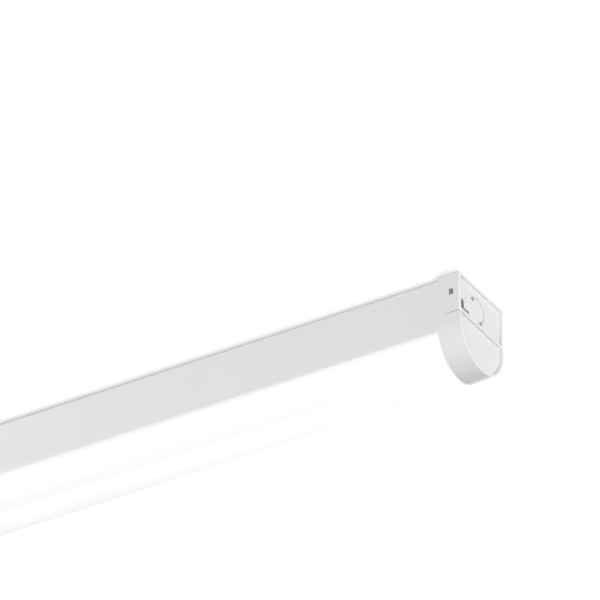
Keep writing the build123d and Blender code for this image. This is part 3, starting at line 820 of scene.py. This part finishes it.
class FinishSet:
    """Every finish of the light by the record's material slot, each made into a material once."""

    FINISHES: dict[str, Finish] = {
        "body_steel": CoatedSteel("spine_coat", (0.80, 0.80, 0.81)),
        "tray_steel": CoatedSteel("tray_coat", (0.84, 0.84, 0.84), roughness=0.30),
        "cap_plastic": MouldedPlastic(
            "cap_moulding", (0.80, 0.80, 0.805), roughness=0.50, sheen=0.20
        ),
        "opal_diffuser": OpalPlastic(
            "opal_cover", (0.52, 0.523, 0.526), glow=0.66, band_top=-0.0675
        ),
        "spring_steel": BareMetal("latch_spring", (0.40, 0.40, 0.40), roughness=0.36),
        "plated_steel": BareMetal("zinc_plate", (0.66, 0.67, 0.68), roughness=0.34),
        "board_white": CircuitBoard("lamp_board_mask", (0.86, 0.86, 0.84), (0.80, 0.80, 0.76)),
        "lamp_package": MouldedPlastic("package_frame", (0.86, 0.85, 0.80), texture_scale=6000.0),
        "connector_plastic": MouldedPlastic("connector_moulding", (0.80, 0.79, 0.75)),
        "rivet_plastic": MouldedPlastic("rivet_moulding", (0.74, 0.74, 0.71), roughness=0.38),
        "driver_steel": CoatedSteel("driver_case", (0.72, 0.73, 0.74), roughness=0.36),
        "driver_board": CircuitBoard("driver_board_mask", (0.035, 0.17, 0.07), (0.06, 0.25, 0.10)),
        "terminal_plastic": MouldedPlastic("terminal_moulding", (0.66, 0.66, 0.63)),
        "button_plastic": MouldedPlastic("button_moulding", (0.82, 0.22, 0.03), roughness=0.34),
        "brass": BareMetal("brass_bar", (0.72, 0.48, 0.16), tarnish=(0.40, 0.25, 0.09)),
        "bush_rubber": Rubber("bush_black", (0.018, 0.018, 0.018)),
        "live_insulation": Insulation("live_brown", (0.13, 0.045, 0.018)),
        "neutral_insulation": Insulation("neutral_blue", (0.02, 0.08, 0.38)),
        "earth_insulation": Insulation("earth_striped", (0.05, 0.30, 0.04), (0.80, 0.66, 0.03)),
        "red_insulation": Insulation("lamp_red", (0.48, 0.012, 0.012)),
        "black_insulation": Insulation("lamp_black", (0.012, 0.012, 0.012)),
        "link_insulation": Insulation("link_white", (0.74, 0.74, 0.72)),
    }

    def __init__(self) -> None:
        """Start with no material made."""
        self.made: dict[Finish, bpy.types.Material] = {}

    def material(self, finish: Finish) -> bpy.types.Material:
        """Return a finish's material, made on first use.

        Args:
            finish: The finish.

        Returns:
            Its material.
        """
        if finish not in self.made:
            self.made[finish] = finish.build()
        return self.made[finish]

    def of_slot(self, slot: str) -> bpy.types.Material:
        """Return the material of a record slot."""
        return self.material(self.FINISHES[slot])


def draw_line(
    shape: Shape, points: Iterable[Sequence[float]], closed: bool = False
) -> list[bmesh.types.BMVert]:
    """Draw straight edges from point to point.

    Args:
        shape: Shape to draw in.
        points: The points in order.
        closed: Whether the last point is joined to the first.

    Returns:
        The line's vertices.
    """
    chain = [shape.verts.new(point) for point in points]
    following = chain[1:] + chain[:1] if closed else chain[1:]
    for first, second in zip(chain, following):
        shape.edges.new((first, second))
    return chain


def round_edges(shape: Shape, edges: list[bmesh.types.BMEdge], radius: float) -> None:
    """Round edges of a shape.

    Args:
        shape: Shape to change.
        edges: Edges to round.
        radius: Radius in millimetres.
    """
    way = {"affect": "EDGES", "segments": ROUND_STEPS, "profile": 0.5, "material": -1}
    bmesh.ops.bevel(shape, geom=edges, offset=radius * MM, **way)


def raise_faces(shape: Shape, way: Vector) -> None:
    """Give the flat faces of a shape a thickness.

    Args:
        shape: Shape to change.
        way: Direction and length of the thickness.
    """
    run = bmesh.ops.extrude_face_region(shape, geom=shape.faces[:])
    moved = [item for item in run["geom"] if isinstance(item, bmesh.types.BMVert)]
    bmesh.ops.translate(shape, verts=moved, vec=way)
    bmesh.ops.recalc_face_normals(shape, faces=shape.faces[:])


@dataclass
class SubAssembly:
    """Base of the sub-assemblies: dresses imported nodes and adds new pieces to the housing."""

    finishes: FinishSet

    def dress(self, *nodes: str) -> None:
        """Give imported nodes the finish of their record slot.

        Args:
            *nodes: Node names.
        """
        for name in nodes:
            node = frame["nodes"][name]
            node.data.materials.clear()
            node.data.materials.append(self.finishes.of_slot(SLOTS[name]))
            LOG.info("dressed %s in %s", name, SLOTS[name])

    def add(
        self,
        name: str,
        shape: Shape,
        node: str,
        finish: Finish | None = None,
        replace: bool = True,
    ) -> None:
        """Turn a shape into a piece that rides on the housing.

        Args:
            name: Piece name.
            shape: Finished shape, which is used up.
            node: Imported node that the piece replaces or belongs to.
            finish: Finish of the piece, or none for the node's own.
            replace: Whether the piece takes the node's place.
        """
        bmesh.ops.remove_doubles(shape, verts=shape.verts[:], dist=MERGE_REACH)
        bmesh.ops.recalc_face_normals(shape, faces=shape.faces[:])
        mesh = bpy.data.meshes.new(name)
        shape.to_mesh(mesh)
        shape.free()
        mesh.shade_smooth()
        mesh.set_sharp_from_angle(angle=CREASE_ANGLE)
        slot = SLOTS[node]
        own = self.finishes.of_slot(slot) if finish is None else self.finishes.material(finish)
        mesh.materials.append(own)
        piece = bpy.data.objects.new(name, mesh)
        bpy.context.scene.collection.objects.link(piece)
        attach(piece, "housing")
        if replace:
            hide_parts(node)
        LOG.info("made %s with %d faces", name, len(mesh.polygons))


class Side(Enum):
    """End of the light."""

    RIGHT = "right"
    LEFT = "left"


@dataclass(frozen=True)
class RubberRing:
    """Moulded rubber ring that snaps into a hole in a sheet; the sizes are in millimetres."""

    node: str
    bore: float
    waist: float
    sheet: float
    upper_flange: float
    rim: float
    dish: float = 0.5
    lead_in: float = 0.7
    edge_radius: float = 0.22
    steps: int = 72

    def shape(self) -> Shape:
        """Spin the ring: a dished upper flange, a waist in the hole, a lower flange with a lead-in.

        Returns:
            The ring's shape, with rounded rims.
        """
        low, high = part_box(self.node)
        middle = (low + high) / 2
        flange = (high.x - low.x) / 2 / MM
        bottom, top = low.z / MM, high.z / MM
        sheet_top = top - self.upper_flange
        sheet_low = sheet_top - self.sheet
        outline = (
            (self.bore, bottom),
            (flange - self.lead_in, bottom),
            (flange, sheet_low - self.lead_in),
            (flange, sheet_low),
            (self.waist, sheet_low),
            (self.waist, sheet_top),
            (flange, sheet_top),
            (flange, top),
            (flange - self.rim, top),
            (flange - self.rim - self.dish, top - self.dish),
            (self.bore + self.rim + self.dish, top - self.dish),
            (self.bore + self.rim, top),
            (self.bore, top),
        )
        shape = bmesh.new()
        points = [(middle.x + radius * MM, middle.y, height * MM) for radius, height in outline]
        draw_line(shape, points, closed=True)
        turn = {"cent": middle, "axis": UPRIGHT, "angle": math.tau, "steps": self.steps}
        bmesh.ops.spin(shape, geom=shape.verts[:] + shape.edges[:], use_merge=True, **turn)
        bmesh.ops.recalc_face_normals(shape, faces=shape.faces[:])
        rims = [edge for edge in shape.edges if edge.calc_face_angle(0.0) > CORNER_ANGLE]
        round_edges(shape, rims, self.edge_radius)
        return shape


@dataclass
class SpineChannel(SubAssembly):
    """Folded steel channel that carries everything, with its cable grommet."""

    grommet: RubberRing = RubberRing(
        "cable_grommet", bore=5.0, waist=9.8, sheet=0.8, upper_flange=1.2, rim=1.2
    )

    def build(self) -> None:
        """Dress the channel and spin the grommet."""
        self.dress("spine")
        self.add("cable_grommet_ring", self.grommet.shape(), self.grommet.node)


@dataclass
class EndCap(SubAssembly):
    """Moulded cap on one end, and the spring latches that hold it."""

    side: Side = Side.RIGHT

    def build(self) -> None:
        """Dress the cap and its latches."""
        self.dress(f"end_cap_{self.side.value}", f"cap_latches_{self.side.value}")


@dataclass
class DiffuserCover(SubAssembly):
    """Opal half-round cover that hooks over the spine's lips, with its section in millimetres.

    A drop is a depth below the centre of the round.
    """

    radius: float = 32.0
    wall: float = 1.5
    edge_drop: float = 7.4
    leg_outside: float = 23.5
    leg_inside: float = 22.3
    hook_drop: float = 6.0
    hook_reach: float = 25.0
    clip_height: float = 2.6
    rim_height: float = 1.7
    groove_width: float = 0.6
    groove_depth: float = 0.7
    lip_radius: float = 0.25
    arc_steps: int = 96

    def build(self) -> None:
        """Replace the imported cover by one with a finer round, grooved rims and softened lips."""
        low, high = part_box("diffuser")
        length = high.x - low.x
        shape = self.section(Vector((low.x, 0.0, low.z + self.radius * MM)))
        raise_faces(shape, Vector((length, 0.0, 0.0)))
        # The groove's edges and the shelf's outer corner, below the rim's middle, stay sharp
        rim_middle = low.z + (self.radius - self.edge_drop - self.rim_height / 2) * MM
        lips = [
            edge
            for edge in shape.edges
            if edge.calc_face_angle(0.0) > CORNER_ANGLE
            and edge.calc_length() > length / 2
            and (
                edge.verts[0].co.z > rim_middle
                or abs(edge.verts[0].co.y) < self.hook_reach * MM
            )
        ]
        round_edges(shape, lips, self.lip_radius)
        self.add("opal_diffuser", shape, "diffuser")

    @staticmethod
    def on_round(radius: float, drop: float) -> tuple[float, float]:
        """Return the place across and the drop of a point on a round."""
        return (math.sqrt(radius**2 - drop**2), drop)

    def section(self, centre: Vector) -> Shape:
        """Draw the section: two rims with clips, joined by an outer and an inner arc.

        Args:
            centre: Centre of the round at the cover's end.

        Returns:
            A shape with the section as its one face.
        """
        shelf_drop = self.edge_drop + self.wall
        inner_radius = self.radius - self.wall
        groove_top = self.edge_drop + self.rim_height
        groove_end = groove_top + self.groove_width
        hook_top = self.hook_drop - self.clip_height
        clip = (
            self.on_round(self.radius, groove_end),
            self.on_round(self.radius - self.groove_depth, groove_top + self.groove_width / 2),
            self.on_round(self.radius, groove_top),
            self.on_round(self.radius, self.edge_drop),
            (self.leg_outside, self.edge_drop),
            (self.leg_outside, self.hook_drop),
            (self.hook_reach, self.hook_drop),
            (self.leg_outside, hook_top),
            (self.leg_inside, hook_top),
            (self.leg_inside, shelf_drop),
            self.on_round(inner_radius, shelf_drop),
        )
        shape = bmesh.new()
        sides = [
            draw_line(shape, [centre + Vector((0.0, way * y, -drop)) * MM for y, drop in clip])
            for way in (1.0, -1.0)
        ]
        far = sides[0]
        arcs = ((far[0], groove_end, self.radius), (far[-1], shelf_drop, inner_radius))
        for start, drop, radius in arcs:
            sweep = math.pi - 2 * math.asin(drop / radius)
            turn = {"axis": (-1.0, 0.0, 0.0), "angle": sweep, "steps": self.arc_steps}
            bmesh.ops.spin(shape, geom=[start], cent=centre, use_merge=False, **turn)
        bmesh.ops.remove_doubles(shape, verts=shape.verts[:], dist=JOIN_REACH)
        bmesh.ops.contextual_create(shape, geom=shape.edges[:])
        return shape


@dataclass
class GearTray(SubAssembly):
    """Folded tray inside the spine, with the bush for the lamp wires."""

    bush: RubberRing = RubberRing(
        "tray_bush", bore=4.0, waist=5.3, sheet=0.8, upper_flange=1.0, rim=0.6, dish=0.2
    )

    def build(self) -> None:
        """Dress the tray and spin its bush."""
        self.dress("gear_tray")
        self.add("tray_bush_ring", self.bush.shape(), self.bush.node)


@dataclass
class LampBoards(SubAssembly):
    """Lamp boards with packages, rivets, connectors and link wires; lens sizes in millimetres."""

    gel: Phosphor = Phosphor("gel_lens", (0.90, 0.66, 0.16), glow=0.9)
    count: int = 24
    package_length: float = 2.8
    half_length: float = 0.95
    half_width: float = 1.25
    rise: float = 0.12
    crown_inset: float = 0.35
    sides: int = 16

    def build(self) -> None:
        """Dress the boards and add a gel lens under each package."""
        self.dress("board_rivets", "board_connectors", "board_link_wires")
        for side in Side:
            packages = f"led_packages_{side.value}"
            self.dress(f"led_board_{side.value}", packages)
            lenses = self.lenses(packages)
            self.add(f"gel_lenses_{side.value}", lenses, packages, self.gel, replace=False)

    def lenses(self, packages: str) -> Shape:
        """Make the lenses under one row of packages.

        Args:
            packages: Node of the row.

        Returns:
            The lenses' shape.
        """
        low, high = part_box(packages)
        first = low.x + self.package_length * MM / 2
        pitch = (high.x - low.x - self.package_length * MM) / (self.count - 1)
        size = Matrix.Diagonal((self.half_length * MM, self.half_width * MM, 1.0, 1.0))
        step = Vector((0.0, 0.0, -self.rise * MM / 2))
        shape = bmesh.new()
        for index in range(self.count):
            place = Matrix.Translation((first + pitch * index, (low.y + high.y) / 2, low.z))
            ring = {"segments": self.sides, "radius": 1.0, "matrix": place @ size}
            rim = bmesh.ops.create_circle(shape, cap_ends=True, **ring)["verts"]
            face = rim[0].link_faces[0]
            crown = bmesh.ops.extrude_discrete_faces(shape, faces=[face])["faces"][0]
            bmesh.ops.translate(shape, verts=crown.verts[:], vec=step)
            bmesh.ops.inset_individual(shape, faces=[crown], thickness=self.crown_inset * MM)
            bmesh.ops.translate(shape, verts=crown.verts[:], vec=step)
        return shape


@dataclass
class Driver(SubAssembly):
    """Lamp driver: folded case, circuit board, terminals and fixing screws."""

    def build(self) -> None:
        """Dress the driver."""
        self.dress("driver_base", "driver_cover", "driver_board", "driver_screws")
        self.dress("driver_input_terminal", "driver_output_terminal")


@dataclass
class MainsTerminal(SubAssembly):
    """Mains terminal block with its contact bars and release buttons."""

    def build(self) -> None:
        """Dress the block, the bars and the buttons."""
        self.dress("terminal_block", "terminal_contacts")
        self.dress("live_button", "neutral_button", "earth_button")


@dataclass
class EarthPoint(SubAssembly):
    """Earth stud with washer, tag and nut; sizes in millimetres, the angle in radians."""

    major_radius: float = 2.0
    minor_radius: float = 1.65
    pitch: float = 0.7
    weld_height: float = 1.2
    weld_taper: float = 0.86  # the collar's lower radius in its upper one
    steps: int = 28
    nut_chamfer: float = 0.35
    nut_bore: float = 2.1
    nut_cuts: int = 3
    bore_margin: float = 1.2  # the nut's edges within this many bore radii stay sharp
    rim_angle: float = 1.0

    def build(self) -> None:
        """Dress the washer and the tag, cut the stud's thread and chamfer the nut."""
        self.dress("earth_washer", "earth_tag")
        self.add("earth_stud_threaded", self.stud(), "earth_stud")
        self.add("earth_hex_nut", self.nut(), "earth_nut")

    def stud(self) -> Shape:
        """Turn a screw thread and stand it on the stud's weld collar.

        Returns:
            The stud's shape.
        """
        low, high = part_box("earth_stud")
        middle = (low + high) / 2
        pitch, weld = self.pitch * MM, self.weld_height * MM
        top = high.z - weld
        # One spare turn at each end, which the cuts below take off
        turns = math.ceil((top - low.z) / pitch) + 2
        points = []
        for half_turn in range(2 * turns + 1):
            radius = self.minor_radius if half_turn % 2 else self.major_radius
            height = low.z + (half_turn / 2 - 1) * pitch
            points.append((middle.x + radius * MM, middle.y, height))
        shape = bmesh.new()
        draw_line(shape, points)
        turn = {"cent": middle, "axis": UPRIGHT, "angle": math.tau, "steps": self.steps}
        climb = {"dvec": Vector((0.0, 0.0, pitch / self.steps)), "use_merge": False}
        bmesh.ops.spin(shape, geom=shape.verts[:] + shape.edges[:], **turn, **climb)
        bmesh.ops.remove_doubles(shape, verts=shape.verts[:], dist=JOIN_REACH)
        for height, up in ((low.z, -1.0), (top, 1.0)):
            everything = shape.verts[:] + shape.edges[:] + shape.faces[:]
            plane = {"plane_co": (0.0, 0.0, height), "plane_no": (0.0, 0.0, up)}
            cut = bmesh.ops.bisect_plane(shape, geom=everything, clear_outer=True, **plane)
            rim = [item for item in cut["geom_cut"] if isinstance(item, bmesh.types.BMEdge)]
            bmesh.ops.contextual_create(shape, geom=rim)
        collar = Matrix.Translation((middle.x, middle.y, high.z - weld / 2))
        width = (high.x - low.x) / 2
        sizes = {"radius1": self.weld_taper * width, "radius2": width, "depth": weld}
        bmesh.ops.create_cone(shape, cap_ends=True, segments=self.steps, matrix=collar, **sizes)
        return shape

    def nut(self) -> Shape:
        """Make a hexagon nut with chamfered rims.

        Returns:
            The nut's shape.
        """
        low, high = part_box("earth_nut")
        place = Matrix.Translation(((low.x + high.x) / 2, (low.y + high.y) / 2, low.z))
        shape = bmesh.new()
        bmesh.ops.create_circle(shape, segments=6, radius=(high.x - low.x) / 2, matrix=place)
        bmesh.ops.subdivide_edges(shape, edges=shape.edges[:], cuts=self.nut_cuts)
        sides = len(shape.edges)
        bmesh.ops.create_circle(shape, segments=sides, radius=self.nut_bore * MM, matrix=place)
        bmesh.ops.bridge_loops(shape, edges=shape.edges[:])
        raise_faces(shape, Vector((0.0, 0.0, high.z - low.z)))
        reach = self.bore_margin * self.nut_bore * MM
        rims = [
            edge
            for edge in shape.edges
            if edge.calc_face_angle(0.0) > self.rim_angle
            and abs(edge.verts[0].co.z - edge.verts[1].co.z) < JOIN_REACH
            and min((vert.co - place.translation).xy.length for vert in edge.verts) > reach
        ]
        round_edges(shape, rims, self.nut_chamfer)
        return shape


@dataclass
class Wiring(SubAssembly):
    """Insulated wires between the terminal, the driver, the earth point and the lamps."""

    def build(self) -> None:
        """Dress every wire in its colour."""
        self.dress("live_wire", "neutral_wire", "earth_wire")
        self.dress("led_positive_wire", "led_negative_wire")


@dataclass
class Stage:
    """White ceiling above the light and white floor under it, each seen from one side only."""

    span: float = 8.0
    clearance: float = 0.0002
    shadow_reach: float = 0.0065
    shadow_tone: float = 0.54
    shadow_range: Span = (0.05, 0.97)
    end_fade: float = 0.004
    cap_inside_x: float = 0.277
    cap_fade: float = 0.006
    cap_shadow_reach: float = 0.0105

    def build(self) -> None:
        """Add the ceiling and the floor."""
        low, high = CAD_BOX
        ceiling = self.plane("stage_ceiling", high.z + self.clearance, faces_up=False)
        ceiling.data.materials.append(self.white("stage_ceiling_white", high.x))
        floor = self.plane("stage_floor", low.z - self.clearance, faces_up=True)
        floor.data.materials.append(self.white("stage_floor_white", high.x + self.span))

    def plane(self, name: str, height: float, faces_up: bool) -> bpy.types.Object:
        """Make one large flat face.

        Args:
            name: Object name.
            height: Its height.
            faces_up: Whether its front looks up.

        Returns:
            The new object.
        """
        mesh = bpy.data.meshes.new(name)
        shape = bmesh.new()
        bmesh.ops.create_grid(shape, x_segments=1, y_segments=1, size=self.span / 2)
        if not faces_up:
            bmesh.ops.reverse_faces(shape, faces=shape.faces[:])
        bmesh.ops.translate(shape, verts=shape.verts[:], vec=(0.0, 0.0, height))
        shape.to_mesh(mesh)
        shape.free()
        plane = bpy.data.objects.new(name, mesh)
        bpy.context.scene.collection.objects.link(plane)
        return plane

    def white(self, name: str, shadow_end: float) -> bpy.types.Material:
        """Make a white that shows the contact shadow, from its front and to the camera only.

        Args:
            name: Material name.
            shadow_end: X past which the light leaves no shadow.

        Returns:
            The material.
        """
        material = bpy.data.materials.new(name)
        sheet = Sheet.on(material)
        along = sheet.axes(sheet.place)[0]
        cap_start = (self.cap_inside_x, self.cap_inside_x + self.cap_fade)
        beside_cap = sheet.span(sheet.math("ABSOLUTE", along), cap_start)
        wider = self.cap_shadow_reach - self.shadow_reach
        closeness = sheet.add("ShaderNodeAmbientOcclusion", samples=16)
        reach = sheet.plus(self.shadow_reach, beside_cap, wider)
        sheet.feed(closeness.inputs["Distance"], reach)
        open_end = sheet.span(along, (shadow_end - self.end_fade, shadow_end))
        light = sheet.span(closeness.outputs["AO"], self.shadow_range)
        tone = sheet.math("MAXIMUM", light, open_end)
        glow = sheet.add("ShaderNodeEmission")
        sheet.feed(glow.inputs["Color"], sheet.blend(tone, grey(self.shadow_tone), WHITE))
        clear = sheet.add("ShaderNodeBsdfTransparent")
        backs = sheet.add("ShaderNodeNewGeometry").outputs["Backfacing"]
        camera = sheet.add("ShaderNodeLightPath").outputs["Is Camera Ray"]
        seen = sheet.math("MULTIPLY", sheet.math("SUBTRACT", 1.0, backs), camera)
        mix = sheet.add("ShaderNodeMixShader")
        for target, value in zip(mix.inputs, (seen, clear.outputs[0], glow.outputs[0])):
            sheet.feed(target, value)
        sheet.end("ShaderNodeOutputMaterial", mix)
        return material


@dataclass(frozen=True)
class Lamp:
    """Square soft lamp, set by the light it gives a white surface that faces it."""

    name: str
    place: Point
    level: float
    aim: Point = (0.29, -0.03, -0.04)
    size: float = 0.9

    def build(self) -> None:
        """Add the lamp."""
        data = bpy.data.lights.new(self.name, "AREA")
        data.size = self.size
        way = Vector(self.aim) - Vector(self.place)
        data.energy = self.level * math.pi**2 * way.length_squared
        lamp = bpy.data.objects.new(self.name, data)
        lamp.location = self.place
        lamp.rotation_euler = way.to_track_quat("-Z", "Y").to_euler()
        bpy.context.scene.collection.objects.link(lamp)


@dataclass(frozen=True)
class Studio:
    """Even surrounding light and the soft lamps."""

    surround: float = 0.33
    lamps: Sequence[Lamp] = (
        Lamp("lamp_left", (-1.00, -0.55, 0.15), 0.36),
        Lamp("lamp_end", (2.13, -0.03, -0.51), 0.68),
        Lamp("lamp_front", (0.55, -1.70, -0.93), 0.49),
        Lamp("lamp_above", (0.00, 0.20, 1.70), 0.45, aim=(0.00, 0.00, 0.00), size=1.2),
        Lamp("lamp_behind", (-0.20, 1.70, 0.35), 0.40, aim=(0.00, 0.00, -0.04), size=1.2),
    )

    def build(self) -> None:
        """Add the world, white to the camera and in reflections, and the lamps."""
        world = bpy.data.worlds.new("studio_surround")
        bpy.context.scene.world = world
        sheet = Sheet.on(world)
        path = sheet.add("ShaderNodeLightPath").outputs
        seen = sheet.math("MAXIMUM", path["Is Camera Ray"], path["Is Glossy Ray"])
        seen = sheet.math("MAXIMUM", seen, path["Is Transmission Ray"])
        back = sheet.add("ShaderNodeBackground")
        sheet.feed(back.inputs["Color"], sheet.blend(seen, grey(self.surround), WHITE))
        sheet.end("ShaderNodeOutputWorld", back)
        for lamp in self.lamps:
            lamp.build()
            LOG.info("lit %s", lamp.name)


@dataclass(frozen=True)
class PhotoCamera:
    """Long-lens camera below the light, at the photograph's angle; it aims at millimetres."""

    azimuth: float = 30.9
    elevation: float = -33.2
    lens: float = 750.0
    sensor: float = 36.0
    far_clip: float = 100.0
    pixels: float = 600.0
    pixels_per_mm: float = 1.328
    aim: Point = (160.5, -32.0, 20.7)

    def build(self) -> None:
        """Add the camera and make it the scene's own."""
        data = bpy.data.cameras.new("photo_camera")
        data.lens = self.lens
        data.sensor_width = self.sensor
        data.clip_end = self.far_clip
        turn, rise = math.radians(self.azimuth), math.radians(self.elevation)
        level = math.cos(rise)
        back = Vector((math.sin(turn) * level, -math.cos(turn) * level, math.sin(rise)))
        distance = self.pixels / self.pixels_per_mm * self.lens / self.sensor * MM
        camera = bpy.data.objects.new("photo_camera", data)
        camera.location = Vector(self.aim) * MM + back * distance
        camera.rotation_euler = (-back).to_track_quat("-Z", "Y").to_euler()
        bpy.context.scene.collection.objects.link(camera)
        bpy.context.scene.camera = camera


def main() -> None:
    """Build the stage, the lamps, the camera and every dressed piece."""
    logging.basicConfig(level=logging.INFO, format="%(name)s: %(message)s")
    bpy.context.scene.view_settings.view_transform = "Standard"
    PhotoCamera().build()
    Stage().build()
    Studio().build()
    finishes = FinishSet()
    SpineChannel(finishes).build()
    DiffuserCover(finishes).build()
    for side in Side:
        EndCap(finishes, side).build()
    GearTray(finishes).build()
    LampBoards(finishes).build()
    Driver(finishes).build()
    MainsTerminal(finishes).build()
    EarthPoint(finishes).build()
    Wiring(finishes).build()


if __name__ == "__main__":
    main()
